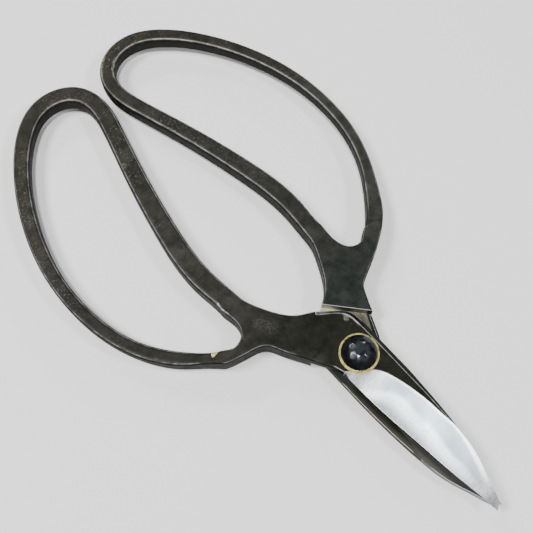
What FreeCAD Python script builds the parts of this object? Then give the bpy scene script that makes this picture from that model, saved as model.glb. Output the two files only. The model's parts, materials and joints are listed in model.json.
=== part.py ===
import FreeCAD, Part
import math
import os

# Hand-forged flower shears with two closed finger bows, in millimetres.
#
# Frame: +Y runs to the blade tips, +Z comes out of the face with the domed rivet head,
# +X is the side of the front half's bow.  The origin is on the pivot axis, on the small
# flat at the foot of the rivet.  The shears are drawn almost closed.
#
# Both halves follow one pattern, the rear one turned half way round about the long axis.
# Each half is drawn about the plane where the two meet (z = 0 there), seen from its outer
# face with its bow on the +X side, and then put in place.

V = FreeCAD.Vector

# Stack along the rivet
LAP = 3.44                  # thickness of one half where the two lie on each other
RUN_GAP = 0.06              # oiled gap between faces that slide on each other
TAIL_HEIGHT = 1.6
WASHER_THICKNESS = 0.6
DOME_HEIGHT = 3.0
FACE = LAP + RUN_GAP / 2    # height of a half's outer face over the meeting plane
MEETING_PLANE = TAIL_HEIGHT + WASHER_THICKNESS + RUN_GAP + LAP + RUN_GAP / 2

# Pivot
SHANK_DIAMETER = 5.0
RUN_CLEARANCE = 0.05        # radial, between the shank and the rear half
WASHER_DIAMETER = 11.3
DOME_DIAMETER = 10.2
DOME_RIM = 0.5              # upright rim below the dome
TAIL_DIAMETER = 9.0
TAIL_FLAT_DIAMETER = 5.6
TAIL_RIM = 0.5
TAIL_BULGE = V(0.25, 0, 0.33)                # of the tail's edge, from under its middle

# Blade and lap of one half, seen from its outer face, pivot at (0, 0)
TIP = V(1.1, 54.5, 0)                        # where the cutting edge ends
TIP_BACK = V(-0.5, 52.9, 0)                  # slanted end of the back
BACK = [V(-2.2, 48, 0), V(-4.8, 40, 0), V(-6.1, 32, 0), V(-6.9, 24, 0), V(-7.4, 16, 0)]
BACK_X = -7.6                                # straight part of the back
BACK_STRAIGHT_TOP = 10.0
CORNER = V(BACK_X, -10.4, 0)                 # sharp corner of the lap before rounding
CORNER_CUT = 2.8                             # how far the rounding reaches along each side
CORNER_PULL = 0.27                           # how far its middle is drawn in, of the two cuts
BACK_TOP_PULL = V(-2, -4, 0)                 # tangents of the back's curve, at the tip
BACK_FOOT_PULL = V(0, -6, 0)                 # and at the straight part
HEEL = V(6.3, 1.9, 0)
CUTTING_EDGE = [V(6.1, 7, 0), V(5.7, 14, 0), V(5.0, 21, 0), V(4.2, 28, 0), V(3.4, 36, 0),
                V(2.4, 44, 0), V(1.5, 50.5, 0)]
SHOULDER_ANGLE = -40.0                       # across the shoulder of a neck, from +X
BRANCH_STRAIGHT = 1.2                        # straight run before the bow's bar begins
EDGE_ROUND = 0.6                             # hammered rounding of the neck edges
FORK_PULL = 7.0                              # how stiffly the neck's curves leave the fork,
GRIP_PULL = 6.0                              # reach the grip
CROTCH_PULL = 5.0                            # and go round the crotch

# Ground bevel: pairs of (grind line, cutting edge) points, heel to tip.  The height is
# that of the surface over the meeting plane.
EDGE_HEIGHT = 0.35
BEVEL = [
    (V(7.4, 0.2, FACE), V(8.2, 1.0, EDGE_HEIGHT)),
    (V(5.7, 1.7, FACE), V(6.6, 2.4, EDGE_HEIGHT)),
    (V(3.4, 3.3, FACE), V(6.15, 4.2, EDGE_HEIGHT)),
    (V(0.9, 5.0, FACE), V(6.1, 6.5, EDGE_HEIGHT)),
    (V(-1.6, 8.0, FACE), V(6.05, 9.5, EDGE_HEIGHT)),
    (V(-3.3, 12.5, FACE), V(5.75, 13.5, EDGE_HEIGHT)),
    (V(-4.5, 17.5, FACE), V(5.3, 18, EDGE_HEIGHT)),
    (V(-5.3, 23.0, FACE), V(4.8, 23, EDGE_HEIGHT)),
    (V(-5.65, 28.0, FACE), V(4.2, 28, EDGE_HEIGHT)),
    (V(-5.85, 33.0, FACE), V(3.7, 33, EDGE_HEIGHT)),
    (V(-4.8, 40.0, 3.15), V(2.9, 40, EDGE_HEIGHT)),
    (V(-2.2, 48.0, 2.6), V(1.9, 48, EDGE_HEIGHT)),
    (V(-0.4, 53.0, 2.1), V(1.25, 53.5, EDGE_HEIGHT)),
    (V(0.7, 57.0, 1.8), V(0.9, 58, EDGE_HEIGHT)),
]
WELD_STEP = 0.03            # the steel starts this part of the bevel's width inside it
WELD_EXIT = V(-7.0, 35.0, 0)                 # where the weld line leaves the blade's back
WELD_STATIONS = 9                            # bevel stations the weld line follows

# Facet up the lower edge of the lap, round its corner and along the back: pairs of (edge
# on the face, edge on the side) points
BACK_FACET = [
    (V(0.9, -15.9, FACE), V(0.4, -17.1, 2.7)),
    (V(-2.3, -13.6, FACE), V(-3.0, -14.3, 2.5)),
    (V(-4.7, -11.4, FACE), V(-5.5, -12.2, 2.4)),
    (V(-5.6, -9.9, FACE), V(-6.95, -10.5, 2.2)),
    (V(-6.0, -7.6, FACE), V(-7.55, -7.9, 2.1)),
    (V(-6.1, -4.0, FACE), V(BACK_X, -4.0, 2.1)),
    (V(-6.1, 4.0, FACE), V(BACK_X, 4.0, 2.1)),
    (V(-6.1, 12.0, FACE), V(BACK_X, 12.0, 2.1)),
    (V(-6.1, 18.0, FACE), V(-7.35, 18.0, 2.3)),
    (V(-5.95, 25.0, FACE), V(-6.85, 25.0, 2.65)),
    (V(-5.85, 31.0, FACE), V(-6.2, 31.0, 3.2)),
    (V(-6.0, 36.0, FACE + 0.3), V(-5.6, 36.0, 3.6)),
]
EASE_WIDTH = 0.7            # bevel along the outer edge of the lap, on the meeting face
EASE_DEPTH = 0.6
EASE_LEAD = 0.5             # how far it runs on past the top of the neck
FACET_OVERRUN = 0.6         # how far a cutter reaches past both rows of points

# Bow: centre line from the neck's grip side round towards the branch, with the bar's
# width in the plane of the bow, its height and the rounding of its corners
BOW = [
    (16.4, -35.0, 5.9, 2 * FACE, EDGE_ROUND),
    (17.1, -44.0, 6.0, 6.5, 1.0),
    (16.9, -53.0, 6.1, 6.2, 1.0),
    (15.5, -62.0, 6.0, 6.0, 1.05),
    (13.6, -71.0, 5.8, 5.9, 1.05),
    (11.3, -80.5, 5.6, 5.8, 1.1),
    (8.5, -90.5, 5.4, 5.7, 1.1),
    (5.4, -101.0, 5.3, 5.6, 1.15),
    (3.8, -109.5, 5.2, 5.5, 1.15),
    (5.8, -117.0, 5.2, 5.4, 1.15),
    (12.9, -121.3, 5.2, 5.3, 1.15),
    (20.0, -120.7, 5.1, 5.2, 1.15),
    (27.1, -116.3, 4.9, 5.0, 1.15),
    (34.0, -108.7, 4.6, 4.8, 1.1),
    (39.9, -99.3, 4.5, 4.6, 1.1),
    (44.8, -88.0, 4.4, 4.5, 1.05),
    (48.0, -75.2, 4.2, 4.4, 1.05),
    (48.6, -62.2, 4.0, 4.4, 1.0),
    (46.7, -50.0, 3.9, 4.6, 1.0),
    (42.4, -39.7, 4.0, 5.0, 1.0),
]
BOW_START = V(0.1, -1.0, 0)                  # direction of the bar where it leaves the neck
BOW_FINISH = V(-0.86, 0.51, 0)               # and where it comes back to the branch
BOW_PULL = 100.0                             # how stiffly it holds these directions

# The two halves were forged by eye, and these things differ between them.
#   lean       sideways lean of the blade per millimetre towards the tip
#   widen      extra width of the blade's back, as a part of it
#   bar        width of the bow's bar, as a share of the widths above
#   fork       where the lap edge runs out into the neck
#   shoulder   distance from the pivot to the shoulder
#   branch     last two stations of the bow, where it comes back to the neck
#   scarf      middle of the brazed joint
FRONT = {
    "lean": 0.02,
    "widen": 0.0,
    "bar": 1.07,
    "fork": V(-0.7, -16.2, 0),
    "inner_neck": [V(4.9, -19.7, 0), V(9.0, -24.6, 0), V(11.8, -30.0, 0)],
    "crotch": [V(18.9, -29.4, 0), V(19.6, -26.9, 0), V(21.3, -25.2, 0), V(23.7, -24.6, 0)],
    "neck_top": V(7.0, -0.4, 0),
    "outer_neck": [V(9.9, -5.4, 0), V(12.0, -9.4, 0), V(13.7, -12.3, 0)],
    "root": [V(15.4, -15.6, 0), V(17.2, -18.7, 0), V(19.4, -20.0, 0), V(22.2, -20.7, 0),
             V(25.4, -21.5, 0)],
    "shoulder": 13.1,
    "branch": [(36.0, -31.4, 4.0, 5.8, 0.9), (28.5, -24.8, 3.9, 2 * FACE, EDGE_ROUND)],
    "scarf": V(30.8, -26.2, 0),
}
REAR = {
    "lean": -0.02,
    "widen": 0.09,
    "bar": 0.92,
    "fork": V(0.2, -16.0, 0),
    "inner_neck": [V(4.7, -18.7, 0), V(8.5, -22.9, 0), V(11.7, -28.8, 0)],
    "crotch": [V(18.8, -28.3, 0), V(19.7, -25.6, 0), V(21.5, -23.8, 0), V(23.7, -23.4, 0)],
    "neck_top": V(8.5, 0.5, 0),
    "outer_neck": [V(10.1, -2.8, 0), V(11.5, -6.0, 0), V(12.6, -8.6, 0), V(14.0, -11.4, 0)],
    "root": [V(15.3, -13.4, 0), V(17.2, -14.6, 0), V(19.8, -15.9, 0), V(22.9, -17.3, 0),
             V(26.4, -19.1, 0)],
    "shoulder": 12.8,
    "branch": [(36.5, -30.8, 4.6, 5.8, 0.9), (28.7, -23.5, 5.2, 2 * FACE, EDGE_ROUND)],
    "scarf": V(31.5, -25.2, 0),
}

# Scarf joint that closes the bow: a thin seam that opens into a fillet of braze on the
# side of the opening
SCARF_ANGLE = -58.0         # direction across the seam, from +X, in the plane of the bow
SCARF_THICKNESS = 0.3
SCARF_REACH = 7.0
FILLET_START = 0.4          # how far past the middle of the bar the seam begins to open
FILLET_END = 3.4
FILLET_HALF_WIDTH = 1.6

JOIN_TOLERANCE = 0.005      # the bar's ends and the neck's end faces meet this closely
CLEAR = 20.0                # cutters reach this far past what they cut
FLATNESS = 0.001            # an edge lies in a face when it's this close to it
NEARNESS = 0.01             # and belongs to an outline this close to it


def smooth(points, start=None, finish=None):
    """Edge along a spline through the points."""
    curve = Part.BSplineCurve()
    if start is None:
        curve.interpolate(points)
    else:
        curve.interpolate(Points=points, InitialTangent=start, FinalTangent=finish)
    return curve.toShape()


def side_step(direction):
    """Unit vector to the left of a direction in the plane of the bow."""
    return V(-direction.y, direction.x, 0).normalize()


def prism(edges, low, high):
    """Upright solid between two heights over a closed run of edges at z = 0."""
    face = Part.Face(Part.Wire(edges))
    face.translate(V(0, 0, low))
    return face.extrude(V(0, 0, high - low))


def polygon(points):
    """Closed run of straight edges through the points."""
    closed = points + points[:1]
    return [Part.makeLine(a, b) for a, b in zip(closed, closed[1:])]


def bar_section(centre, direction, width, height, rounding):
    """Rounded rectangle across a bar, as a wire of four sides and four corner arcs."""
    across = side_step(direction)
    up = V(0, 0, 1)
    spots = []
    for side, top in ((1, 1), (-1, 1), (-1, -1), (1, -1)):
        hub = centre + across * side * (width / 2 - rounding) + up * top * (height / 2 - rounding)
        ends = [across * side * rounding, up * top * rounding]
        if side * top < 0:
            ends.reverse()
        middle = (ends[0] + ends[1]).normalize() * rounding
        spots.append((hub + ends[0], hub + middle, hub + ends[1]))
    edges = []
    for spot, following in zip(spots, spots[1:] + spots[:1]):
        edges.append(Part.Arc(*spot).toShape())
        edges.append(Part.makeLine(spot[2], following[0]))
    return Part.Wire(edges)


def bow_stations(half):
    """Stations of one half's bow, from the neck round to the branch."""
    stations = [(x, y, width * half["bar"], *rest) for x, y, width, *rest in BOW]
    return stations + half["branch"]


def bow_corners(station, direction):
    """The two ends of the cut across the bar at a station, right one first."""
    x, y, width = station[:3]
    half_width = side_step(direction) * (width / 2)
    return V(x, y, 0) - half_width, V(x, y, 0) + half_width


def bow_bar(stations):
    """The bow's bar, swept through its stations from the neck round to the branch."""
    middles = [V(station[0], station[1], 0) for station in stations]
    line = smooth(middles, BOW_START * BOW_PULL, BOW_FINISH * BOW_PULL).Curve
    sections = []
    for middle, (_, _, width, height, rounding) in zip(middles, stations):
        direction = line.tangent(line.parameter(middle))[0]
        sections.append(bar_section(middle, direction, width, height, rounding))
    return Part.makeLoft(sections, True, False)


def ruled_cutter(pairs, overrun, height):
    """Solid over or under the ruled surface between two rows of points, wider by the overrun."""
    rows = [[], []]
    for first, second in pairs:
        reach = (second - first).normalize() * overrun
        rows[0].append(first - reach)
        rows[1].append(second + reach)
    steps = [0.0]
    for (first, _), (following, _) in zip(pairs, pairs[1:]):
        steps.append(steps[-1] + first.distanceToPoint(following))
    edges = []
    for row in rows:
        curve = Part.BSplineCurve()
        curve.interpolate(Points=row, Parameters=steps)
        edges.append(curve.toShape())
    return Part.makeRuledSurface(edges[0], edges[1]).extrude(V(0, 0, height))


def shaped(points, half):
    """Points of the blade and lap moved to the lean and width of one half's blade."""
    moved = []
    for point in points:
        widened = point.x * (1 + half["widen"]) if point.x < 0 else point.x
        moved.append(V(widened + half["lean"] * max(point.y, 0), point.y, point.z))
    return moved


def shaped_pairs(pairs, half):
    """The same for pairs of points."""
    return [tuple(shaped(pair, half)) for pair in pairs]


def ease_cutter(half):
    """Solid under the bevel along the outer edge of the lap, on the meeting face."""
    line = [half["neck_top"]] + half["outer_neck"][:3]
    line.insert(0, line[0] + (line[0] - line[1]).normalize() * EASE_LEAD)
    pairs = []
    for spot, following in zip(line, line[1:]):
        inward = side_step(spot - following) * EASE_WIDTH
        pairs.append((spot + inward + V(0, 0, RUN_GAP / 2), spot + V(0, 0, EASE_DEPTH)))
    return ruled_cutter(pairs, FACET_OVERRUN, -CLEAR)


def half_outline(half):
    """Edges round the blade, lap and neck, and those of them the hammer has rounded."""
    stations = bow_stations(half)
    grip_outer, grip_inner = bow_corners(stations[0], BOW_START)
    branch_outer, branch_inner = bow_corners(stations[-1], BOW_FINISH)
    tip, tip_back, back_top, corner = shaped(
        [TIP, TIP_BACK, V(BACK_X, BACK_STRAIGHT_TOP, 0), CORNER], half)
    fork = half["fork"]
    lap_line = (fork - corner).normalize()
    corner_start = corner + V(0, CORNER_CUT, 0)
    corner_end = corner + lap_line * CORNER_CUT
    corner_middle = corner + (corner_start + corner_end - corner * 2) * CORNER_PULL
    inner_neck = smooth([fork] + half["inner_neck"] + [grip_outer], lap_line * FORK_PULL,
                        BOW_START * GRIP_PULL)
    crotch = smooth([grip_inner] + half["crotch"] + [branch_inner], BOW_START * -CROTCH_PULL,
                    BOW_FINISH * -CROTCH_PULL)
    branch_lead = branch_outer + BOW_FINISH * BRANCH_STRAIGHT
    outer_neck = smooth([branch_outer, branch_lead] + half["root"][::-1]
                        + half["outer_neck"][::-1] + [half["neck_top"]])
    edges = [
        Part.makeLine(tip, tip_back),
        smooth([tip_back] + shaped(BACK, half) + [back_top], BACK_TOP_PULL, BACK_FOOT_PULL),
        Part.makeLine(back_top, corner_start),
        Part.Arc(corner_start, corner_middle, corner_end).toShape(),
        Part.makeLine(corner_end, fork),
        inner_neck,
        Part.makeLine(grip_outer, grip_inner),
        crotch,
        Part.makeLine(branch_inner, branch_outer),
        outer_neck,
        Part.makeLine(half["neck_top"], HEEL),
        smooth([HEEL] + shaped(CUTTING_EDGE, half) + [tip]),
    ]
    return edges, [inner_neck, crotch, outer_neck]


def hammered(shape, outlines):
    """Round the neck's edges on both faces along the given outlines."""
    chosen = []
    for edge in shape.Edges:
        box = edge.BoundBox
        if box.ZMax - box.ZMin > FLATNESS or abs(abs(box.ZMax) - FACE) > FLATNESS:
            continue
        middle = edge.valueAt((edge.FirstParameter + edge.LastParameter) / 2)
        spot = Part.Vertex(V(middle.x, middle.y, 0))
        if min(outline.distToShape(spot)[0] for outline in outlines) < NEARNESS:
            chosen.append(edge)
    return shape.makeFillet(EDGE_ROUND, chosen)


def largest(shape):
    """The biggest solid of a shape, without crumbs left along a cut."""
    return max(shape.Solids, key=lambda solid: solid.Volume)


def weld_zone(half):
    """Upright solid over everything on the steel side of the weld line."""
    line = []
    for grind, edge in shaped_pairs(BEVEL[:WELD_STATIONS], half):
        spot = grind + (edge - grind) * WELD_STEP
        line.append(V(spot.x, spot.y, 0))
    line += shaped([WELD_EXIT], half)
    far = V(CLEAR, TIP.y + CLEAR, 0)
    corners = [V(line[-1].x, far.y, 0), far, V(far.x, line[0].y, 0)]
    run = [line[-1]] + corners + [line[0]]
    edges = [smooth(line)] + [Part.makeLine(a, b) for a, b in zip(run, run[1:])]
    return prism(edges, -CLEAR, CLEAR)


def seam(half):
    """Upright solid over the brazed seam where the bow's end meets the branch."""
    thin = SCARF_THICKNESS / 2
    outline = [V(-thin, -FILLET_START, 0), V(-FILLET_HALF_WIDTH, -FILLET_END, 0),
               V(FILLET_HALF_WIDTH, -FILLET_END, 0), V(thin, -FILLET_START, 0),
               V(thin, SCARF_REACH, 0), V(-thin, SCARF_REACH, 0)]
    body = prism(polygon(outline), -CLEAR, CLEAR)
    body.rotate(V(0, 0, 0), V(0, 0, 1), SCARF_ANGLE)
    body.translate(half["scarf"])
    return body


def forged_half(half, bore_radius):
    """Iron, cutting steel and brazed seam of one half, about the meeting plane."""
    outline, rounded = half_outline(half)
    shape = prism(outline, RUN_GAP / 2, FACE)

    # full thickness beyond the shoulder
    reach = V(math.cos(math.radians(SHOULDER_ANGLE)), math.sin(math.radians(SHOULDER_ANGLE)), 0)
    foot = reach * half["shoulder"]
    along = side_step(reach) * CLEAR * 4
    beyond = polygon([foot + along, foot - along, foot - along + reach * CLEAR * 4,
                      foot + along + reach * CLEAR * 4])
    beyond = prism(beyond, -CLEAR, CLEAR)
    lower = prism(outline, -FACE, RUN_GAP / 2).common(beyond)
    shape = shape.cut(ease_cutter(half).cut(beyond))
    shape = hammered(shape.fuse(lower).removeSplitter(), rounded)

    # facets, bevel and bore
    shape = shape.cut(ruled_cutter(shaped_pairs(BEVEL, half), FACET_OVERRUN, CLEAR))
    shape = shape.cut(ruled_cutter(shaped_pairs(BACK_FACET, half), FACET_OVERRUN, CLEAR))
    shape = shape.cut(Part.makeCylinder(bore_radius, 2 * CLEAR, V(0, 0, -CLEAR)))

    steel = largest(shape.common(weld_zone(half)))
    iron = largest(shape.cut(weld_zone(half)))
    iron = iron.fuse((bow_bar(bow_stations(half)),), JOIN_TOLERANCE).removeSplitter()
    braze = largest(iron.common(seam(half)))
    iron = largest(iron.cut(seam(half)))
    return iron, steel, braze


def disc(radius, low, high, bore):
    """Flat washer between two heights."""
    washer = Part.makeCylinder(radius, high - low, V(0, 0, low))
    return washer.cut(Part.makeCylinder(bore, high - low, V(0, 0, low)))


def rivet(dome_foot):
    """Shank with a low flat-ended tail and a domed head, turned about the pivot axis."""
    shank = SHANK_DIAMETER / 2
    tail = TAIL_DIAMETER / 2
    flat = TAIL_FLAT_DIAMETER / 2
    dome = DOME_DIAMETER / 2
    crown = dome_foot + DOME_HEIGHT
    shoulder = dome_foot + DOME_RIM
    rise = DOME_HEIGHT - DOME_RIM
    ball = (dome * dome + rise * rise) / (2 * rise)
    part_way = math.asin(dome / ball) / 2
    on_dome = V(ball * math.sin(part_way), 0, crown - ball * (1 - math.cos(part_way)))
    tail_bulge = V((tail + flat) / 2, 0, 0) + TAIL_BULGE
    spots = [V(0, 0, 0), V(flat, 0, 0), V(tail, 0, TAIL_HEIGHT - TAIL_RIM),
             V(tail, 0, TAIL_HEIGHT), V(shank, 0, TAIL_HEIGHT), V(shank, 0, dome_foot),
             V(dome, 0, dome_foot), V(dome, 0, shoulder), V(0, 0, crown)]
    edges = [
        Part.makeLine(spots[0], spots[1]),
        Part.Arc(spots[1], tail_bulge, spots[2]).toShape(),
        Part.makeLine(spots[2], spots[3]),
        Part.makeLine(spots[3], spots[4]),
        Part.makeLine(spots[4], spots[5]),
        Part.makeLine(spots[5], spots[6]),
        Part.makeLine(spots[6], spots[7]),
        Part.Arc(spots[7], on_dome, spots[8]).toShape(),
        Part.makeLine(spots[8], spots[0]),
    ]
    return Part.Face(Part.Wire(edges)).revolve(V(0, 0, 0), V(0, 0, 1), 360)


shank_radius = SHANK_DIAMETER / 2
front_pieces = forged_half(FRONT, shank_radius)
rear_pieces = forged_half(REAR, shank_radius + RUN_CLEARANCE)
for piece in rear_pieces:
    piece.rotate(V(0, 0, 0), V(0, 1, 0), 180)
for piece in front_pieces + rear_pieces:
    piece.translate(V(0, 0, MEETING_PLANE))

front_face = MEETING_PLANE + FACE
nodes = {
    "front_half": front_pieces[0],
    "front_blade_steel": front_pieces[1],
    "front_bow_braze": front_pieces[2],
    "rear_half": rear_pieces[0],
    "rear_blade_steel": rear_pieces[1],
    "rear_bow_braze": rear_pieces[2],
    "pivot_rivet": rivet(front_face + WASHER_THICKNESS),
    "front_washer": disc(WASHER_DIAMETER / 2, front_face, front_face + WASHER_THICKNESS,
                         shank_radius),
    "rear_washer": disc(WASHER_DIAMETER / 2, TAIL_HEIGHT, TAIL_HEIGHT + WASHER_THICKNESS,
                        shank_radius),
}

os.makedirs("parts", exist_ok=True)
for name, shape in nodes.items():
    shape.exportStep("parts/" + name + ".step")
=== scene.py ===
import bpy
import json
import math
import random
from mathutils import Matrix, Vector


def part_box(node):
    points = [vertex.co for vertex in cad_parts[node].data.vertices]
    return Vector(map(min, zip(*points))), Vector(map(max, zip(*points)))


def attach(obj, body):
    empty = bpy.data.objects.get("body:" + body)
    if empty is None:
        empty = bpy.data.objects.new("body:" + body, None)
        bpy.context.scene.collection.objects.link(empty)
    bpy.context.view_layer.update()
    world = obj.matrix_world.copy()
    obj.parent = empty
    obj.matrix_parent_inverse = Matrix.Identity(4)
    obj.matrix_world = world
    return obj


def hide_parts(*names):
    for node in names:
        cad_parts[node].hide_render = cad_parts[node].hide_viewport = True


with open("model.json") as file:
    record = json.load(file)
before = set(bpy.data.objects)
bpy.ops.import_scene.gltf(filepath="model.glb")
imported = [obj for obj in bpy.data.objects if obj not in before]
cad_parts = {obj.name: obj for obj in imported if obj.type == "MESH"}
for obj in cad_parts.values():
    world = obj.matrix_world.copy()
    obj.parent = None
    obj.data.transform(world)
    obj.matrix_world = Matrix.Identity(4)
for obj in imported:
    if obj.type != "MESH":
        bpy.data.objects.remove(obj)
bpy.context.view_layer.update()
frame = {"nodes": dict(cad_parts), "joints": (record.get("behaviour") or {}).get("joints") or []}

MM = 0.001
PER_MM = 1000.0
UP = (0, 0, 1)

# Camera: compass angle and height of the view, the point it looks at and how far off it is
AZIMUTH = math.radians(137.4)
ELEVATION = math.radians(70.0)
TARGET = Vector((0.6, -36.9, 5.7)) * MM
DISTANCE = 260.0 * MM
LENS = 60.8
SENSOR = 36.0
NEAREST_SEEN = 0.01

VIEW_BACK = Vector((math.sin(AZIMUTH) * math.cos(ELEVATION),
                    -math.cos(AZIMUTH) * math.cos(ELEVATION), math.sin(ELEVATION)))
VIEW_RIGHT = Vector((math.cos(AZIMUTH), math.sin(AZIMUTH), 0.0))
VIEW_UP = VIEW_BACK.cross(VIEW_RIGHT)

# Lamps face a point on the blades beside the pivot.  Each has an angle off the view axis and
# a turn round it in degrees, a distance and a size in metres, its watts and its colour
LAMPS_FACE = Vector((0, 10, 8)) * MM
LAMPS = (
    ("key", (34, 152), 0.9, (0.22, 0.22), 6.5, (1.0, 0.99, 0.98)),
    ("near", (8, 121), 1.1, (0.12, 0.12), 10.5, (1.0, 1.0, 1.0)),
    ("right", (35, 19), 0.9, (0.12, 0.12), 3.2, (0.96, 0.98, 1.0)),
    ("back_left", (71, 119), 0.9, (0.26, 0.08), 1.8, (0.97, 0.98, 1.0)),
    ("back_right", (82, 67), 0.9, (0.14, 0.08), 1.2, (0.97, 0.98, 1.0)),
)
SKY_COLOUR = (0.80, 0.83, 0.88, 1)
SKY_STRENGTH = 0.14
FLOOR_REACH = 2
FLOOR_DIM, FLOOR_LIGHT = (0.80, 0.80, 0.79), (0.84, 0.84, 0.83)

# The meeting plane of the two halves, in millimetres, and the slope of their shoulders
MEETING_PLANE = frame["joints"][0]["pos_m"][2] * PER_MM
SHOULDER_TURN = math.radians(-40.0)


# ---------------------------------------------------------------- camera, floor and light

def add_object(name, data):
    obj = bpy.data.objects.new(name, data)
    bpy.context.scene.collection.objects.link(obj)
    return obj


def camera():
    data = bpy.data.cameras.new("camera")
    data.lens = LENS
    data.sensor_width = SENSOR
    data.clip_start = NEAREST_SEEN
    obj = add_object("camera", data)
    turn = Matrix((VIEW_RIGHT, VIEW_UP, VIEW_BACK)).transposed().to_4x4()
    obj.matrix_world = Matrix.Translation(TARGET + VIEW_BACK * DISTANCE) @ turn
    bpy.context.scene.camera = obj


def soft_box(name, direction, distance, size, energy, colour):
    """Area light in a direction from the point that the lamps face, turned to that point."""
    lamp = bpy.data.lights.new(name, "AREA")
    lamp.shape = "RECTANGLE"
    lamp.size, lamp.size_y = size
    lamp.energy = energy
    lamp.color = colour
    obj = add_object(name, lamp)
    away = direction.normalized()
    obj.location = LAMPS_FACE + away * distance
    obj.rotation_euler = away.to_track_quat("Z", "Y").to_euler()


def view_direction(angle_off, turn):
    """Direction at an angle off the view axis, turned anticlockwise from picture right."""
    off, round_axis = math.radians(angle_off), math.radians(turn)
    across = VIEW_RIGHT * math.cos(round_axis) + VIEW_UP * math.sin(round_axis)
    return VIEW_BACK * math.cos(off) + across * math.sin(off)


def pale_floor():
    """Plain pale sheet under the shears."""
    f = Finish("pale_floor")
    cloud = f.noise(size=160.0, detail=2.0, roughness=0.5)
    f.colour(f.mix(cloud, FLOOR_DIM, FLOOR_LIGHT))
    f.set(roughness=0.85)
    corners = [(FLOOR_REACH * x, FLOOR_REACH * y, 0)
               for x, y in ((-1, -1), (1, -1), (1, 1), (-1, 1))]
    sheet = bpy.data.meshes.new("floor")
    sheet.from_pydata(corners, [], [(0, 1, 2, 3)])
    sheet.materials.append(f.material)
    add_object("floor", sheet)


def sky():
    """Even dim light from all round."""
    world = bpy.data.worlds.new("studio")
    world.use_nodes = True
    background = world.node_tree.nodes["Background"]
    background.inputs["Color"].default_value = SKY_COLOUR
    background.inputs["Strength"].default_value = SKY_STRENGTH
    bpy.context.scene.world = world


# ---------------------------------------------------------------- material nodes
#
# A soft step is written as where it starts and where it ends and, if it doesn't go from
# 0 to 1, what it goes from and to.  Lengths are in millimetres and colours are linear.

MIX_COLOURS = (6, 7)       # places of the colours and the numbers on a Mix node
MIXED_COLOUR = 2
MIX_NUMBERS = (2, 3)
EDGE_SAMPLES = 8
HOLLOW_SAMPLES = 6
STILL_FLAT = 0.992         # cosine of the most that a surface may turn and be no edge
BY_AN_EDGE = 1.2           # how far round an edge a hollow corner is looked for
OUT_OF_HOLLOWS = (0.55, 0.8)
ROUNDING_STARTS = 0.012    # softness of the two ends of a rounding, as cosines
ROUNDING_ENDS = 0.06

# The sliding flat is level with the meeting plane and faces the other half.  The shoulder is
# known by its facing, and the rim with painted shade by its line along the blade's back
IN_PLANE = (0.3, 0.7, 1.0, 0.0)
FACING_IN = (0.5, 0.8)
SHOULDER_FACING = (-0.80, -0.92)
SHOULDER_INSIDE = (13.5, 13.3)
RIM_LEAN = 0.531
RIM_INSIDE = (9.95, 9.5)
RIM_ACROSS = (6.2, 6.7)
RIM_ALONG = (-9.0, -7.0)


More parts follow.
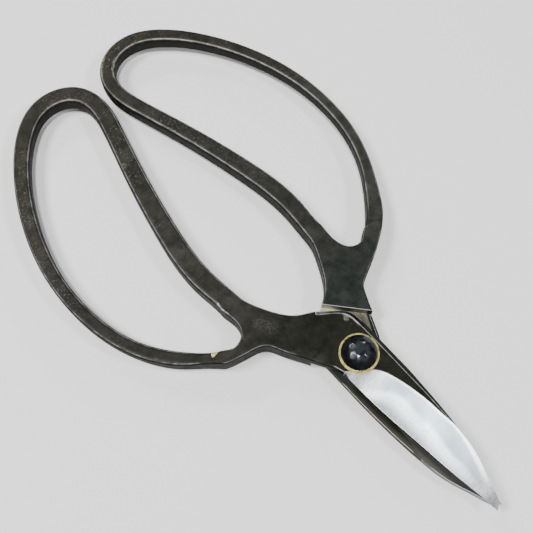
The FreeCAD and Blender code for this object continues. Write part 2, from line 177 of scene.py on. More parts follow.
class Finish:
    """One material, with short hand for its nodes."""

    def __init__(self, name):
        self.material = bpy.data.materials.new(name)
        self.material.use_nodes = True
        self.tree = self.material.node_tree
        self.tree.nodes.clear()
        self.shader = self.add("ShaderNodeBsdfPrincipled")
        output = self.add("ShaderNodeOutputMaterial")
        self.tree.links.new(self.shader.outputs["BSDF"], output.inputs["Surface"])
        place = self.add("ShaderNodeTexCoord").outputs["Object"]
        self.place = self.vector("SCALE", place, scale=PER_MM)
        parts = self.add("ShaderNodeSeparateXYZ")
        self.plug(self.place, parts.inputs[0])
        self.x, self.y, self.z = parts.outputs
        self.normal = self.add("ShaderNodeNewGeometry").outputs["Normal"]

    def add(self, kind, **settings):
        node = self.tree.nodes.new(kind)
        for key, value in settings.items():
            setattr(node, key, value)
        return node

    def plug(self, value, socket):
        if isinstance(value, bpy.types.NodeSocket):
            self.tree.links.new(value, socket)
        else:
            socket.default_value = value

    def vector(self, operation, a, b=None, scale=None):
        node = self.add("ShaderNodeVectorMath", operation=operation)
        self.plug(a, node.inputs[0])
        if b is not None:
            self.plug(b, node.inputs[1])
        if scale is not None:
            self.plug(scale, node.inputs["Scale"])
        single = operation in ("DOT_PRODUCT", "LENGTH")
        return node.outputs["Value" if single else "Vector"]

    def math(self, operation, a, b=0.0, clamp=False):
        node = self.add("ShaderNodeMath", operation=operation, use_clamp=clamp)
        self.plug(a, node.inputs[0])
        self.plug(b, node.inputs[1])
        return node.outputs[0]

    def times(self, first, *rest):
        for value in rest:
            first = self.math("MULTIPLY", first, value)
        return first

    def plus(self, a, b):
        return self.math("ADD", a, b)

    def minus(self, a, b):
        return self.math("SUBTRACT", a, b)

    def without(self, value):
        return self.minus(1.0, value)

    def size_of(self, value):
        return self.math("ABSOLUTE", value)

    def span(self, value, low, high, to_low=0.0, to_high=1.0):
        """Soft step from one value to another as the input goes from low to high."""
        node = self.add("ShaderNodeMapRange", interpolation_type="SMOOTHSTEP")
        for socket, number in zip(node.inputs, (value, low, high, to_low, to_high)):
            self.plug(number, socket)
        return node.outputs[0]

    def noise(self, size, detail=3.0, roughness=0.55, stretch=None, shift=(0, 0, 0)):
        """Noise with features of about a size, longer where the stretch is larger.
        The shift only keeps two noises from following each other."""
        place = self.place
        if stretch is not None:
            place = self.vector("DIVIDE", place, stretch)
        place = self.vector("ADD", place, shift)
        node = self.add("ShaderNodeTexNoise")
        self.plug(place, node.inputs["Vector"])
        self.plug(1.0 / size, node.inputs["Scale"])
        self.plug(detail, node.inputs["Detail"])
        self.plug(roughness, node.inputs["Roughness"])
        return node.outputs[0]

    def mix(self, factor, a, b):
        """Colour a where the factor is 0 and colour b where it is 1."""
        node = self.add("ShaderNodeMix", data_type="RGBA")
        self.plug(factor, node.inputs[0])
        for value, place in zip((a, b), MIX_COLOURS):
            value = value if isinstance(value, bpy.types.NodeSocket) else (*value, 1)
            self.plug(value, node.inputs[place])
        return node.outputs[MIXED_COLOUR]

    def blend(self, factor, a, b):
        """Number a where the factor is 0 and number b where it is 1."""
        node = self.add("ShaderNodeMix", data_type="FLOAT")
        self.plug(factor, node.inputs[0])
        for value, place in zip((a, b), MIX_NUMBERS):
            self.plug(value, node.inputs[place])
        return node.outputs[0]

    def ball(self, centre, inner, outer):
        """1 within the inner distance of a point, 0 beyond the outer one."""
        away = self.vector("LENGTH", self.vector("SUBTRACT", self.place, centre))
        return self.span(away, inner, outer, 1.0, 0.0)

    def edges(self, reach, soft=0.05):
        """1 on outward edges, within about the reach, and 0 in hollow corners."""
        bevel = self.add("ShaderNodeBevel", samples=EDGE_SAMPLES)
        bevel.inputs["Radius"].default_value = reach * MM
        turn = self.vector("DOT_PRODUCT", bevel.outputs[0], self.normal)
        edge = self.span(turn, 1.0 - soft, STILL_FLAT, 1.0, 0.0)
        outside = self.span(self.hollows(BY_AN_EDGE), *OUT_OF_HOLLOWS)
        return self.math("MULTIPLY", edge, outside, clamp=True)

    def rounding(self, steep, shallow):
        """1 on the rounded edge beside a flat, where it has tilted by some degrees."""
        node = self.add("ShaderNodeSeparateXYZ")
        self.plug(self.normal, node.inputs[0])
        tilt = self.size_of(node.outputs[2])
        start, finish = math.cos(math.radians(shallow)), math.cos(math.radians(steep))
        return self.times(self.span(tilt, start + ROUNDING_STARTS, start - ROUNDING_STARTS),
                          self.span(tilt, finish - ROUNDING_ENDS, finish + ROUNDING_ENDS))

    def hollows(self, reach):
        """1 in the open, less in the piece's own hollow corners."""
        node = self.add("ShaderNodeAmbientOcclusion", only_local=True, samples=HOLLOW_SAMPLES)
        node.inputs["Distance"].default_value = reach * MM
        return node.outputs["AO"]

    def facing(self, axis):
        """How far the surface faces along an axis."""
        return self.vector("DOT_PRODUCT", self.normal, axis)

    def upright(self, low, high):
        """1 on the upright sides."""
        return self.span(self.size_of(self.facing(UP)), low, high)

    def slid(self, sign):
        """1 on the flat that slides on the other half."""
        level = self.size_of(self.minus(self.z, MEETING_PLANE))
        return self.times(self.span(level, *IN_PLANE),
                          self.span(self.facing((0, 0, -sign)), *FACING_IN))

    def shoulder(self, sign):
        """1 on the step between the lap and the full thickness of the neck."""
        out = (sign * math.cos(SHOULDER_TURN), math.sin(SHOULDER_TURN), 0)
        away = self.vector("DOT_PRODUCT", self.place, out)
        return self.times(self.span(self.facing(out), *SHOULDER_FACING),
                          self.span(away, *SHOULDER_INSIDE))

    def painted_shade_rim(self, sign):
        """1 where painted shade lies on the sliding flat: by the blade's back, below its steel.
        """
        back = self.plus(self.times(self.x, -sign), self.times(self.y, RIM_LEAN))
        edge = self.span(back, *RIM_INSIDE)
        beside = self.span(self.times(self.x, -sign), *RIM_ACROSS)
        return self.times(edge, beside, self.span(self.y, *RIM_ALONG))

    def colour(self, value):
        self.plug(value, self.shader.inputs["Base Color"])

    def set(self, roughness=None, metallic=None, specular=None, specular_tint=None):
        """Settings of the shader that are left out keep their usual values."""
        for value, name in ((metallic, "Metallic"), (specular, "Specular IOR Level"),
                            (specular_tint, "Specular Tint"), (roughness, "Roughness")):
            if value is not None:
                self.plug(value, self.shader.inputs[name])

    def height(self, value, depth):
        """Bump of some depth, on top of any set before."""
        node = self.add("ShaderNodeBump")
        node.inputs["Strength"].default_value = 1.0
        node.inputs["Distance"].default_value = depth * MM
        self.plug(value, node.inputs["Height"])
        bumped = self.shader.inputs["Normal"]
        if bumped.is_linked:
            self.plug(bumped.links[0].from_socket, node.inputs["Normal"])
        self.plug(node.outputs[0], bumped)

    def wear(self, node_name):
        """Put the finish on a CAD node."""
        for slot in frame["nodes"][node_name].material_slots:
            slot.material = self.material


# ---------------------------------------------------------------- forged iron

BOW_END = (0.0275, 0.0258, 0.0205)
FLECK = (0.115, 0.113, 0.086)
PAINTED_SHADE_SIDE = (0.0035, 0.0038, 0.0038)
WORN_ROUNDING = (0.22, 0.224, 0.215)
WORN_EDGE_AND_HIGHLIGHT = (0.64, 0.64, 0.60)
DIRT_AND_SHADE = (0.012, 0.011, 0.010)
CORNER_EDGE, CORNER_FACE = (0.60, 0.60, 0.55), (0.30, 0.30, 0.27)
NECK_PATCH = (0.046, 0.046, 0.039)
FORK_HIGHLIGHT = (0.75, 0.76, 0.74)
GRIP_CHIP = (0.16, 0.145, 0.105)
END_WEAR = (0.34, 0.33, 0.22)
RUST = (0.22, 0.075, 0.02)
SCALE_TINT = (0.4, 0.4, 0.4, 1)
SCALE_SPECULAR = 0.3
SCALE_METALLIC = 0.6

# What differs between the halves: colours, how much lighter or darker the outer bar is, where
# the bow is brazed, and marks.  A mark has a middle, a reach, the size of its ragged pattern,
# a colour, and what it lies on: a face, the rounding beside it or an edge
FRONT_IRON = dict(
    neck=(0.0105, 0.0108, 0.0080), grip=(0.0255, 0.0250, 0.0205), rub=(0.042, 0.042, 0.035),
    outer=0.64, scarf=(30.8, -26.2, 6.0),
    marks=[((-6.0, -8.6, 9.1), 3.6, 1.0, CORNER_EDGE, "edge"),
           ((-4.6, -9.7, 9.2), 1.3, 0.6, CORNER_FACE, "face"),
           ((12.8, -22.0, 9.2), 3.2, 0.55, NECK_PATCH, "face"),
           ((14.4, -25.2, 9.2), 3.4, 0.55, NECK_PATCH, "face"),
           # a painted highlight on the rounding of the fork
           ((17.5, -35.6, 8.8), 3.8, 0.9, FORK_HIGHLIGHT, "rounding"),
           ((11.0, -88.2, 8.6), 1.3, 0.7, GRIP_CHIP, "face")])
REAR_IRON = dict(
    neck=(0.0180, 0.0215, 0.0190), grip=(0.0255, 0.0255, 0.0215), rub=(0.042, 0.042, 0.036),
    outer=1.5, scarf=(-31.5, -25.2, 6.0),
    marks=[((-9.6, -101.0, 8.2), 1.6, 0.8, RUST, "face"),
           ((-6.6, -119.0, 8.2), 6.5, 0.8, END_WEAR, "rounding")])

# From neck to grip to the bow's end the colour changes with y.  The broad noise moves the
# change by some millimetres, and the branch beside the neck has it earlier
BROAD_SWAY = 12.0
BRANCH_FROM = 12.0
BRANCH_LEAD = 0.5
NECK_TO_GRIP = (-8.0, -36.0)
GRIP_TO_END = (-78.0, -112.0)
MOTTLE_SHARES = (0.75, 0.25)
MOTTLE_SHADE = (0.30, 0.72, 0.72, 1.36)
OUTER_ACROSS = (24.0, 34.0)
OUTER_ALONG = (-92.0, -62.0)

# Scale rubbed off in patches, in streaks and in flecks
RUB_PATCHES = (0.56, 0.70)
RUB_NECK, RUB_GRIP = 0.35, 0.5
STREAKS = (0.60, 0.80)
STREAK_SHARE = 0.35
FLECKS = (0.54, 0.70)
FLECK_CLOUDS = (0.40, 0.58)
FLECKS_ALONG = (-30.0, -90.0, 0.0, 0.75)

# Painted shade on the upright sides, darkened to black, and dirt with painted shade in the
# hollow corners
UPRIGHT_IRON = (0.60, 0.25)
UPRIGHT_SHADE_SHARE = 0.72
HOLLOW_REACH = 2.5
HOLLOW_DARKENING = (0.35, 0.8, 0.55, 0.0)

# Worn edges, bare metal with painted highlight, are ragged, and are left out over the weld of
# the steel and over the braze
EDGE_REACH = 0.38
RAGGED_SHARES = (0.6, 0.4)
RAGGED = (0.34, 0.58, 0.45, 1.0)
EDGE_ON_GRIP = 0.65
EDGE_ON_SIDE = 0.3
EDGE_ON_RIM = 0.1
WELD_ACROSS = (6.4, 6.0)
WELD_ALONG = (3.0, 6.0)
SCARF_INNER, SCARF_OUTER = 4.0, 5.2

# Further towards the tip the weld runs aslant over the sliding flat: the line's run, how far
# from the pivot it passes, and its half width
SEAM_RUN = (0.987, 0.163)
SEAM_OFFSET = 2.15
SEAM_HALF_WIDTH = (0.65, 0.45)
SEAM_STARTS = (20.0, 22.0)
SEAM_ENDS = (32.6, 31.4)

# The rounding beside the flat tops of the bow is worn where it has tilted this far, in degrees
ROUNDING_STEEP, ROUNDING_SHALLOW = 44, 24
ROUNDING_ALONG = (-10.0, -14.0)
ROUNDING_PATCHES = (0.36, 0.62, 0.30, 0.90)

# How marks on edges, in ragged patches and on the rounding are laid
MARK_EDGE = (0.9, 0.03)
MARK_EDGE_CORE, MARK_CORE = 0.5, 0.1
MARK_BITES = (0.38, 0.66)
MARK_STEEP, MARK_SHALLOW = 62, 12

IRON_ROUGH = (0.3, 0.7, 0.40, 0.58)
BARE_ROUGH = 0.36


def scale_colour(f, half, down, far, shade):
    """Forge scale from the neck by the grip to the end of the bow, shaded by the mottle."""
    base = f.mix(down, half["neck"], half["grip"])
    base = f.mix(far, base, BOW_END)
    outer = f.times(f.span(f.size_of(f.x), *OUTER_ACROSS), f.span(f.y, *OUTER_ALONG))
    shade = f.times(shade, f.blend(outer, 1.0, half["outer"]))
    return f.vector("SCALE", base, scale=shade)


def rubbed_scale(f, sign, half, colour, down, broad, scratch):
    """Patches and streaks where scale is rubbed off, and pale flecks on the bow."""
    rub = f.noise(size=5.0, detail=4.0, roughness=0.6, shift=(8, 3, 60 * sign))
    rub = f.times(f.span(rub, *RUB_PATCHES), f.blend(down, RUB_NECK, RUB_GRIP))
    colour = f.mix(rub, colour, half["rub"])
    streak = f.times(f.span(scratch, *STREAKS), STREAK_SHARE)
    colour = f.mix(streak, colour, half["rub"])
    fleck = f.noise(size=0.7, roughness=0.6, shift=(6, 1, 4))
    fleck = f.times(f.span(fleck, *FLECKS), f.span(broad, *FLECK_CLOUDS),
                    f.span(f.y, *FLECKS_ALONG))
    return f.mix(fleck, colour, FLECK)


def off_the_joins(f, sign, half):
    """0 over the weld of the steel and the braze, so that their seams don't look worn."""
    weld = f.times(f.slid(sign), f.span(f.times(f.x, -sign), *WELD_ACROSS),
                   f.span(f.y, *WELD_ALONG))
    scarf = f.ball(half["scarf"], SCARF_INNER, SCARF_OUTER)
    run_x, run_y = SEAM_RUN
    across = f.minus(f.times(f.x, -sign * run_x), f.times(f.y, run_y))
    across = f.size_of(f.minus(across, SEAM_OFFSET))
    seam = f.times(f.slid(sign), f.span(across, *SEAM_HALF_WIDTH), f.span(f.y, *SEAM_STARTS),
                   f.span(f.y, *SEAM_ENDS))
    return f.times(f.without(weld), f.without(scarf), f.without(seam))


def marked(f, half, colour):
    """The half's own marks, each in its place."""
    for spot, reach, size, mark_colour, lies_on in half["marks"]:
        if lies_on == "edge":
            mark = f.times(f.ball(spot, reach * MARK_EDGE_CORE, reach), f.edges(*MARK_EDGE))
        else:
            bites = f.noise(size, detail=4.0, roughness=0.7, shift=(4, 19, 6))
            mark = f.times(f.ball(spot, reach * MARK_CORE, reach), f.span(bites, *MARK_BITES))
        if lies_on == "rounding":
            mark = f.times(mark, f.rounding(MARK_STEEP, MARK_SHALLOW))
        colour = f.mix(mark, colour, mark_colour)
    return colour


def forged_iron(name, sign, half):
    """Scaled iron of one half: dark at the neck, browner and worn round the bow."""
    f = Finish(name)
    broad = f.noise(size=14.0, detail=4.0, roughness=0.6, shift=(31 * sign, 7, 2))
    patch = f.noise(size=3.2, detail=5.0, roughness=0.62, shift=(5, 40 * sign, 9))
    grain = f.noise(size=0.45, roughness=0.6)
    scratch = f.noise(size=0.30, detail=2.0, roughness=0.5, stretch=(1, 9, 1), shift=(3, 5, 8))
    beside = f.math("MAXIMUM", f.minus(f.size_of(f.x), BRANCH_FROM), 0.0)
    along = f.plus(f.y, f.times(broad, BROAD_SWAY))
    along = f.minus(along, f.times(beside, BRANCH_LEAD))
    down = f.span(along, *NECK_TO_GRIP)
    far = f.span(along, *GRIP_TO_END)
    mottled = f.plus(f.times(patch, MOTTLE_SHARES[0]), f.times(grain, MOTTLE_SHARES[1]))
    shaded = scale_colour(f, half, down, far, f.span(mottled, *MOTTLE_SHADE))
    shaded = rubbed_scale(f, sign, half, shaded, down, broad, scratch)

    # painted shade: the upright sides are darkened to black
    upright = f.upright(*UPRIGHT_IRON)
    shaded = f.mix(f.times(upright, UPRIGHT_SHADE_SHARE), shaded, PAINTED_SHADE_SIDE)

    # wear on the rounding of the bow, the half's own marks, and dirt with painted shade in the
    # hollow corners
    kept = off_the_joins(f, sign, half)
    rounded = f.times(f.rounding(ROUNDING_STEEP, ROUNDING_SHALLOW), f.span(f.y, *ROUNDING_ALONG))
    rounded = f.times(rounded, f.span(patch, *ROUNDING_PATCHES))
    shaded = f.mix(f.times(rounded, kept), shaded, WORN_ROUNDING)
    shaded = marked(f, half, shaded)
    # dirt and painted shade: darker in the piece's own hollow corners
    shaded = f.mix(f.span(f.hollows(HOLLOW_REACH), *HOLLOW_DARKENING), shaded, DIRT_AND_SHADE)

    # bare metal where the two halves slide on each other and down the shoulder, then the worn
    # edges with painted highlight
    inner = f.math("MAXIMUM", f.slid(sign), f.shoulder(sign))
    shaded = f.mix(inner, shaded, inner_face(f, sign, half))
    ragged = f.plus(f.times(patch, RAGGED_SHARES[0]), f.times(grain, RAGGED_SHARES[1]))
    edge = f.times(f.edges(EDGE_REACH), f.span(ragged, *RAGGED), kept,
                   f.blend(down, 1.0, EDGE_ON_GRIP))
    # the edges are damped on the upright sides and on the rim, where painted shade lies
    edge = f.times(edge, f.blend(upright, 1.0, EDGE_ON_SIDE),
                   f.blend(f.painted_shade_rim(sign), 1.0, EDGE_ON_RIM))
    f.colour(f.mix(edge, shaded, WORN_EDGE_AND_HIGHLIGHT))

    rough = f.blend(f.math("MAXIMUM", edge, inner), f.span(mottled, *IRON_ROUGH), BARE_ROUGH)
    f.set(rough, SCALE_METALLIC, SCALE_SPECULAR, SCALE_TINT)
    f.height(patch, depth=0.10)
    f.height(grain, depth=0.018)
    f.height(scratch, depth=0.012)
    return f


# ---------------------------------------------------------------- the faces that slide

LAP_DULL, LAP_RUBBED = (0.095, 0.092, 0.070), (0.165, 0.160, 0.124)
BLADE_OXIDE_AND_SHADE, BLADE_RUBBED = (0.006, 0.006, 0.0045), (0.015, 0.015, 0.011)
LIT_STRIP = (0.052, 0.050, 0.037)
LAP_FOOT_LIGHT = (0.38, 0.355, 0.26)
SHADED_LIP = (0.016, 0.017, 0.014)
INNER_TIP = (0.26, 0.27, 0.26)

# Places on the sliding faces: the strip of painted light beside the blade's back, the foot of
# the shoulder lifted by painted light, the change from lap to blade, the lip along the lap
# darkened by painted shade, and the tip
RUBBING = (0.35, 0.7)
STRIP_ACROSS = (6.9, 8.9)
STRIP_NARROWS = (10.0, 44.0, 0.0, 2.4)
FOOT_ACROSS, FOOT_ALONG = 2.4, -15.4
FOOT_INNER, FOOT_OUTER = 1.0, 5.5
LAP_TO_BLADE = (-1.0, 2.5)
LIP_RUN = (0.890, 0.456)
LIP_ACROSS = (6.05, 6.25)
LIP_STARTS = (2.4, 1.0)
LIP_ENDS = (-8.2, -7.6)
TIP_ALONG = (47.5, 53.5)


def inner_face(f, sign, half):
    """Colour of the face that slides: bare round the pivot, dark along the blade with oxide and
    painted shade, with a strip of painted light beside the blade's back, and painted shade on
    the rim."""
    rubbed = f.noise(size=2.2, detail=4.0, roughness=0.65, stretch=(1, 2.5, 1))
    rubbed = f.span(rubbed, *RUBBING)
    lap = f.mix(rubbed, LAP_DULL, LAP_RUBBED)
    # the blade's inner face is dark with oxide, and with painted shade beside the other blade
    blade = f.mix(rubbed, BLADE_OXIDE_AND_SHADE, BLADE_RUBBED)
    # painted light: a lighter strip towards the blade's back
    outward = f.plus(f.times(f.x, -sign), f.span(f.y, *STRIP_NARROWS))
    blade = f.mix(f.span(outward, *STRIP_ACROSS), blade, LIT_STRIP)
    # painted light at the foot of the shoulder
    foot = f.ball((sign * FOOT_ACROSS, FOOT_ALONG, MEETING_PLANE), FOOT_INNER, FOOT_OUTER)
    lap = f.mix(foot, lap, LAP_FOOT_LIGHT)
    colour = f.mix(f.span(f.y, *LAP_TO_BLADE), lap, blade)
    # painted shade on the lip along the lap's edge
    lip = f.vector("DOT_PRODUCT", f.place, (sign * LIP_RUN[0], LIP_RUN[1], 0.0))
    lip = f.times(f.span(lip, *LIP_ACROSS), f.span(f.y, *LIP_STARTS), f.span(f.y, *LIP_ENDS))
    colour = f.mix(lip, colour, SHADED_LIP)
    colour = f.mix(f.span(f.y, *TIP_ALONG), colour, INNER_TIP)
    # painted shade: the rim by the blade's back takes the dark neck colour
    return f.mix(f.painted_shade_rim(sign), colour, half["neck"])


# ---------------------------------------------------------------- ground steel

STEEL = (0.50, 0.565, 0.61)
STEEL_HEEL_LIT = (0.86, 0.89, 0.90)
STEEL_TIP = (0.92, 0.95, 0.97)
STEEL_DIP = (0.25, 0.31, 0.36)
STEEL_LOW = (0.115, 0.127, 0.132)
GRIND_LINE = (0.85, 0.86, 0.86)
STEEL_SPECKLE = (0.27, 0.29, 0.30)
STEEL_LINES = (0.24, 0.27, 0.30)
STEEL_SHADED_SIDE = (0.010, 0.010, 0.009)
STEEL_EDGE = (0.75, 0.76, 0.74)

# Height of the bevel's soft ridge over the meeting plane: it rises out of the heel and sinks
# towards the tip.  The noise makes it wander
RIDGE_RISES = (6.0, 16.0, 0.5, 2.1)
RIDGE_SINKS = (12.0, 50.0, 0.0, -1.1)
RIDGE_WANDER = 0.5
RIDGE_MIDDLE = 0.25
GRIND_HEIGHT = (30.0, 52.0, 3.47, 2.2)

# Places of the painted reflections on the bevel: the dark dip between ridge and grind line,
# the darker low side towards the cutting edge, the lighter heel, the lighter tip and the bright
# grind line
DIP_ABOVE_RIDGE = (0.0, 0.55)
DIP_BELOW_GRIND = (0.05, 0.42)
DIP_STARTS = (6.5, 13.0)
DIP_ENDS = (50.0, 42.0)
LOW_UNDER_RIDGE = (-0.15, -1.45)
LOW_FADES = (54.0, 40.0, 0.2, 1.0)
HEEL_ALONG = (14.0, 7.0)
BRIGHT_TIP_ALONG = (40.0, 50.0)
GRIND_BRIGHT = (0.26, 0.05, 0.0, 0.7)
SPECKLED, SPECKLE_SHARE = (0.48, 0.66), 0.42
LINED, LINE_SHARE = (0.42, 0.68), 0.38
UPRIGHT_STEEL, UPRIGHT_STEEL_SHADE = (0.45, 0.2), 0.9
JOINED_ALONG = (36.0, 34.0)
STEEL_EDGE_REACH, STEEL_EDGE_SHARE = 0.25, 0.7
DULL_HEEL = (12.0, 5.0)
DULL_METALLIC = 0.55
STEEL_ROUGH = (0.3, 0.7, 0.34, 0.46)
INNER_ROUGH = 0.4


def ground_steel(name, sign, half):
    """Ground cutting bevel, satin, with its reflections painted in bands, and the flat inner
    face dull and rubbed.
    """
    f = Finish(name)
    lines = f.noise(size=0.16, detail=2.0, roughness=0.5, stretch=(22, 1.0, 22))
    cloud = f.noise(size=7.0, roughness=0.5, shift=(2, 11 * sign, 0))
    speckle = f.noise(size=0.7, roughness=0.7)

    # the bevel is ground a little round, and its reflections are painted: a soft ridge runs
    # along it, under the grind line it is painted brighter again, and towards the cutting edge
    # darker
    high = f.times(f.minus(f.z, MEETING_PLANE), sign)
    ridge = f.plus(f.span(f.y, *RIDGE_RISES), f.span(f.y, *RIDGE_SINKS))
    over = f.plus(f.minus(high, ridge), f.times(cloud, RIDGE_WANDER))
    over = f.minus(over, RIDGE_MIDDLE)
    grind = f.minus(f.span(f.y, *GRIND_HEIGHT), high)
    dip = f.times(f.span(over, *DIP_ABOVE_RIDGE), f.span(grind, *DIP_BELOW_GRIND),
                  f.span(f.y, *DIP_STARTS), f.span(f.y, *DIP_ENDS))
    low = f.times(f.span(over, *LOW_UNDER_RIDGE), f.span(f.y, *LOW_FADES))
    # painted light: the heel is lighter, against the shadow and dark reflection of the rivet's
    # head
    base = f.mix(f.span(f.y, *HEEL_ALONG), STEEL, STEEL_HEEL_LIT)
    base = f.mix(f.span(f.y, *BRIGHT_TIP_ALONG), base, STEEL_TIP)
    base = f.mix(dip, base, STEEL_DIP)
    base = f.mix(low, base, STEEL_LOW)
    base = f.mix(f.span(grind, *GRIND_BRIGHT), base, GRIND_LINE)
    base = f.mix(f.times(f.span(speckle, *SPECKLED), SPECKLE_SHARE), base, STEEL_SPECKLE)
    base = f.mix(f.times(f.span(lines, *LINED), LINE_SHARE), base, STEEL_LINES)
    # painted shade: the upright sides of the steel are darkened
    base = f.mix(f.times(f.upright(*UPRIGHT_STEEL), UPRIGHT_STEEL_SHADE), base, STEEL_SHADED_SIDE)

    # the flat face, and the edges but for the weld
    inner = f.slid(sign)
    base = f.mix(inner, base, inner_face(f, sign, half))
    joined = f.times(inner, f.span(f.y, *JOINED_ALONG))
    edge = f.times(f.edges(STEEL_EDGE_REACH), STEEL_EDGE_SHARE, f.without(joined))
    f.colour(f.mix(edge, base, STEEL_EDGE))
    dull = f.math("MAXIMUM", inner, f.span(f.y, *DULL_HEEL))
    rough = f.blend(inner, f.span(cloud, *STEEL_ROUGH), INNER_ROUGH)
    f.set(rough, f.blend(dull, 1.0, DULL_METALLIC))
    f.height(lines, depth=0.012)
    f.height(speckle, depth=0.012)
    return f


# ---------------------------------------------------------------- braze, rivet and washers

BRAZE_DULL, BRAZE_BRIGHT = (0.50, 0.42, 0.20), (0.72, 0.66, 0.38)
BRAZE_GRAIN = (0.20, 0.16, 0.09)
BRAZE_PATCHES = (0.35, 0.7)
BRAZE_GRAINS, BRAZE_GRAIN_SHARE = (0.55, 0.7), 0.5
BRIGHT_CORE = 0.6
BRIGHT_PATCHES = (0.25, 0.45)
BRAZE_ROUGH = (0.3, 0.7, 0.40, 0.6)

RIVET_BLACK, RIVET_HAZE = (0.004, 0.0045, 0.0055), (0.012, 0.0135, 0.0155)
RIVET_CROWN_SHEEN = (0.030, 0.037, 0.042)
RIVET_EDGE = (0.25, 0.24, 0.22)
RIVET_HAZES = (0.4, 0.7)
CROWN_MIDDLE, CROWN_INNER, CROWN_OUTER = (0, 0, 12.3), 1.6, 4.0
CROWN_HAZES = (0.25, 0.65)
RIVET_EDGE_REACH, RIVET_EDGE_GRAINS, RIVET_EDGE_SHARE = 0.2, (0.4, 0.6), 0.4
RIVET_ROUGH = (0.3, 0.7, 0.14, 0.26)

BRASS_BRIGHT, BRASS_TARNISH = (0.86, 0.71, 0.24), (0.60, 0.47, 0.13)
BRASS_GRAIN = (0.42, 0.33, 0.13)
BRASS_EDGE = (0.95, 0.82, 0.48)
TARNISHED = (0.45, 0.80)
BRASS_GRAINS, BRASS_GRAIN_SHARE = (0.55, 0.75), 0.3
BRASS_EDGE_REACH, BRASS_EDGE_SHARE = 0.15, 0.35
BRASS_ROUGH = (0.3, 0.7, 0.22, 0.42)


def braze(name, half, spot, reach):
    """Dull brass run into the joint, scaled over like the iron except round a spot."""
    f = Finish(name)
    grain = f.noise(size=0.5, detail=4.0, roughness=0.65)
    patch = f.noise(size=1.6, roughness=0.6)
    base = f.mix(f.span(patch, *BRAZE_PATCHES), BRAZE_DULL, BRAZE_BRIGHT)
    base = f.mix(f.times(f.span(grain, *BRAZE_GRAINS), BRAZE_GRAIN_SHARE), base, BRAZE_GRAIN)
    scaled = f.mix(f.span(patch, *BRAZE_PATCHES), half["neck"], half["grip"])
    bright = f.ball(spot, reach * BRIGHT_CORE, reach)
    bright = f.times(bright, f.span(patch, *BRIGHT_PATCHES))
    f.colour(f.mix(bright, scaled, base))
    f.set(f.span(grain, *BRAZE_ROUGH), SCALE_METALLIC, SCALE_SPECULAR, SCALE_TINT)
    f.height(patch, depth=0.12)
    f.height(grain, depth=0.03)
    return f


def blacked(name):
    """Blacked and polished rivet, with a painted reflection as a grey haze on its crown."""
    f = Finish(name)
    haze = f.noise(size=2.4, detail=4.0, roughness=0.6)
    grain = f.noise(size=0.25, roughness=0.6)
    base = f.mix(f.span(haze, *RIVET_HAZES), RIVET_BLACK, RIVET_HAZE)
    # painted reflection: a lighter haze on the crown
    crown = f.times(f.ball(CROWN_MIDDLE, CROWN_INNER, CROWN_OUTER), f.span(haze, *CROWN_HAZES))
    base = f.mix(crown, base, RIVET_CROWN_SHEEN)
    edge = f.times(f.edges(RIVET_EDGE_REACH), f.span(grain, *RIVET_EDGE_GRAINS))
    f.colour(f.mix(f.times(edge, RIVET_EDGE_SHARE), base, RIVET_EDGE))
    f.set(f.span(haze, *RIVET_ROUGH), metallic=0.3, specular=0.45)
    f.height(haze, depth=0.03)
    f.height(grain, depth=0.004)
    return f


def brass(name):
    """Turned brass washer, rubbed bright, with a little tarnish."""
    f = Finish(name)
    tarnish = f.noise(size=1.8, detail=4.0, roughness=0.6)
    grain = f.noise(size=0.2, roughness=0.6)
    base = f.mix(f.span(tarnish, *TARNISHED), BRASS_BRIGHT, BRASS_TARNISH)
    base = f.mix(f.times(f.span(grain, *BRASS_GRAINS), BRASS_GRAIN_SHARE), base, BRASS_GRAIN)
    f.colour(f.mix(f.times(f.edges(BRASS_EDGE_REACH), BRASS_EDGE_SHARE), base, BRASS_EDGE))
    f.set(f.span(tarnish, *BRASS_ROUGH), metallic=1.0)
    f.height(grain, depth=0.006)
    return f


# ---------------------------------------------------------------- the hammered rivet

# Sizes of the rivet below its head, in metres
SHANK = 2.5 * MM
TAIL = 4.5 * MM
TAIL_RISE = 0.33 * MM
FOOT_FLAT, FOOT_CORE = 2.8 * MM, 1.4 * MM
RIM = 0.5 * MM
RIM_CHAMFER = 0.05 * MM
RIM_TOP = 0.7

# Corners round the skin, and rings over the dome
AROUND, RINGS = 120, 30

# The dome is a ball with flats hammered into it, each some way below the ball's surface.  The
# first blow has an angle off the crown and a turn round it, in radians.  The rest lie in rows
# round the crown: how many, and how far out as a share of the dome
BLOW_DEPTH = 0.065 * MM
BLOW_SOFTNESS = 0.012 * MM
BLOW_REACH = 0.5
FIRST_BLOW = (0.06, 1.0)
BLOW_ROWS = ((6, 0.42), (11, 0.80))
TURN_JITTER, SHARE_JITTER = 0.22, 0.05
DICE_SEED = 11


def polar_direction(polar, turn):
    return Vector((math.sin(polar) * math.cos(turn), math.sin(polar) * math.sin(turn),
                   math.cos(polar)))


def blow_normals(widest):
    """Directions of the flats that the hammer left."""
    dice = random.Random(DICE_SEED)
    blows = [FIRST_BLOW]
    for count, share in BLOW_ROWS:
        for step in range(count):
            turn = 2 * math.pi * (step + dice.uniform(-TURN_JITTER, TURN_JITTER)) / count
            blows.append((widest * (share + dice.uniform(-SHARE_JITTER, SHARE_JITTER)), turn))
    return [polar_direction(*blow) for blow in blows]


def ring(size, height):
    turns = [2 * math.pi * k / AROUND for k in range(AROUND)]
    return [Vector((size * math.cos(turn), size * math.sin(turn), height)) for turn in turns]


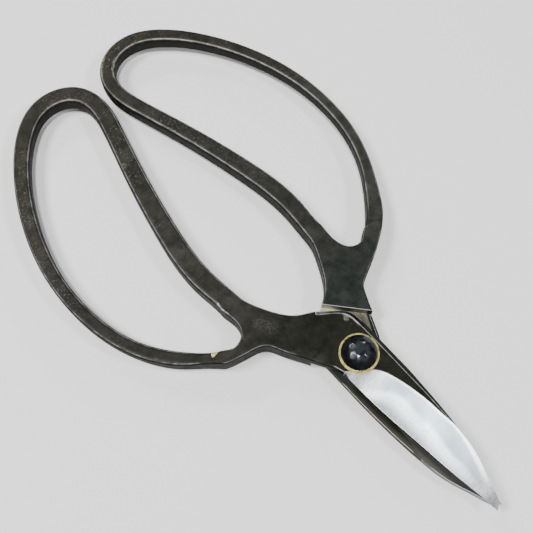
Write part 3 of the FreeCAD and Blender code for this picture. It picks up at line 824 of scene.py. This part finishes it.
def skin_of_loops(loops, foot, crown):
    """Vertices and faces of a closed skin over loops, from the foot's point to the crown's."""
    vertices = [point for loop in loops for point in loop]
    faces = []
    for row in range(len(loops) - 1):
        low, high = row * AROUND, (row + 1) * AROUND
        for k in range(AROUND):
            following = (k + 1) % AROUND
            faces.append((low + k, low + following, high + following, high + k))
    for cap, tip in ((0, foot), (len(loops) - 1, crown)):
        vertices.append(tip)
        for k in range(AROUND):
            following = (k + 1) % AROUND
            face = (cap * AROUND + k, cap * AROUND + following, len(vertices) - 1)
            faces.append(face if cap else face[::-1])
    return vertices, faces


def hammered_rivet(finish):
    """The rivet with faint facets from the hammer on its domed head."""
    low, high = (Vector(corner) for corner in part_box("pivot_rivet"))
    head_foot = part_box("front_washer")[1][2]
    tail_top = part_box("rear_washer")[0][2]
    radius = (high.x - low.x) / 2
    rise = high.z - head_foot - RIM
    ball = (radius * radius + rise * rise) / (2 * rise)
    centre = Vector((0, 0, high.z - ball))
    widest = math.asin(radius / ball)
    normals = blow_normals(widest)

    def on_head(polar, turn):
        """Point on the dome: the ball and all its flats, with soft corners between them."""
        out = polar_direction(polar, turn)
        total = 1.0
        for normal in normals:
            along = out.dot(normal)
            if along > BLOW_REACH:
                total += math.exp((ball - (ball - BLOW_DEPTH) / along) / BLOW_SOFTNESS)
        return centre + out * (ball - BLOW_SOFTNESS * math.log(total))

    loops = [ring(FOOT_CORE, low.z), ring(FOOT_FLAT, low.z),
             ring((FOOT_FLAT + TAIL) / 2, low.z + TAIL_RISE), ring(TAIL, tail_top - RIM),
             ring(TAIL, tail_top), ring(SHANK, tail_top), ring(SHANK, head_foot),
             ring(radius - RIM_CHAMFER, head_foot), ring(radius, head_foot + RIM_CHAMFER),
             ring(radius, head_foot + RIM * RIM_TOP)]
    for step in range(RINGS):
        polar = widest * (1 - step / RINGS)
        loops.append([on_head(polar, 2 * math.pi * k / AROUND) for k in range(AROUND)])
    vertices, faces = skin_of_loops(loops, Vector((0, 0, low.z)), on_head(0.0, 0.0))
    mesh = bpy.data.meshes.new("hammered_rivet")
    mesh.from_pydata(vertices, [], faces)
    mesh.shade_smooth()
    mesh.materials.append(finish.material)
    obj = add_object("hammered_rivet", mesh)
    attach(obj, "front_half")
    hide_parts("pivot_rivet")


# ---------------------------------------------------------------- the scene

camera()
pale_floor()
for name, angles, distance, size, energy, colour in LAMPS:
    soft_box(name, view_direction(*angles), distance, size, energy, colour)
sky()

forged_iron("iron_front", 1, FRONT_IRON).wear("front_half")
forged_iron("iron_rear", -1, REAR_IRON).wear("rear_half")
ground_steel("steel_front", 1, FRONT_IRON).wear("front_blade_steel")
ground_steel("steel_rear", -1, REAR_IRON).wear("rear_blade_steel")
braze("braze_front", FRONT_IRON, (28.8, -27.4, 9.0), 2.0).wear("front_bow_braze")
braze("braze_rear", REAR_IRON, (-30.0, -26.6, 4.0), 1.8).wear("rear_bow_braze")
brass("brass_front").wear("front_washer")
brass("brass_rear").wear("rear_washer")
hammered_rivet(blacked("blacked_rivet_skin"))
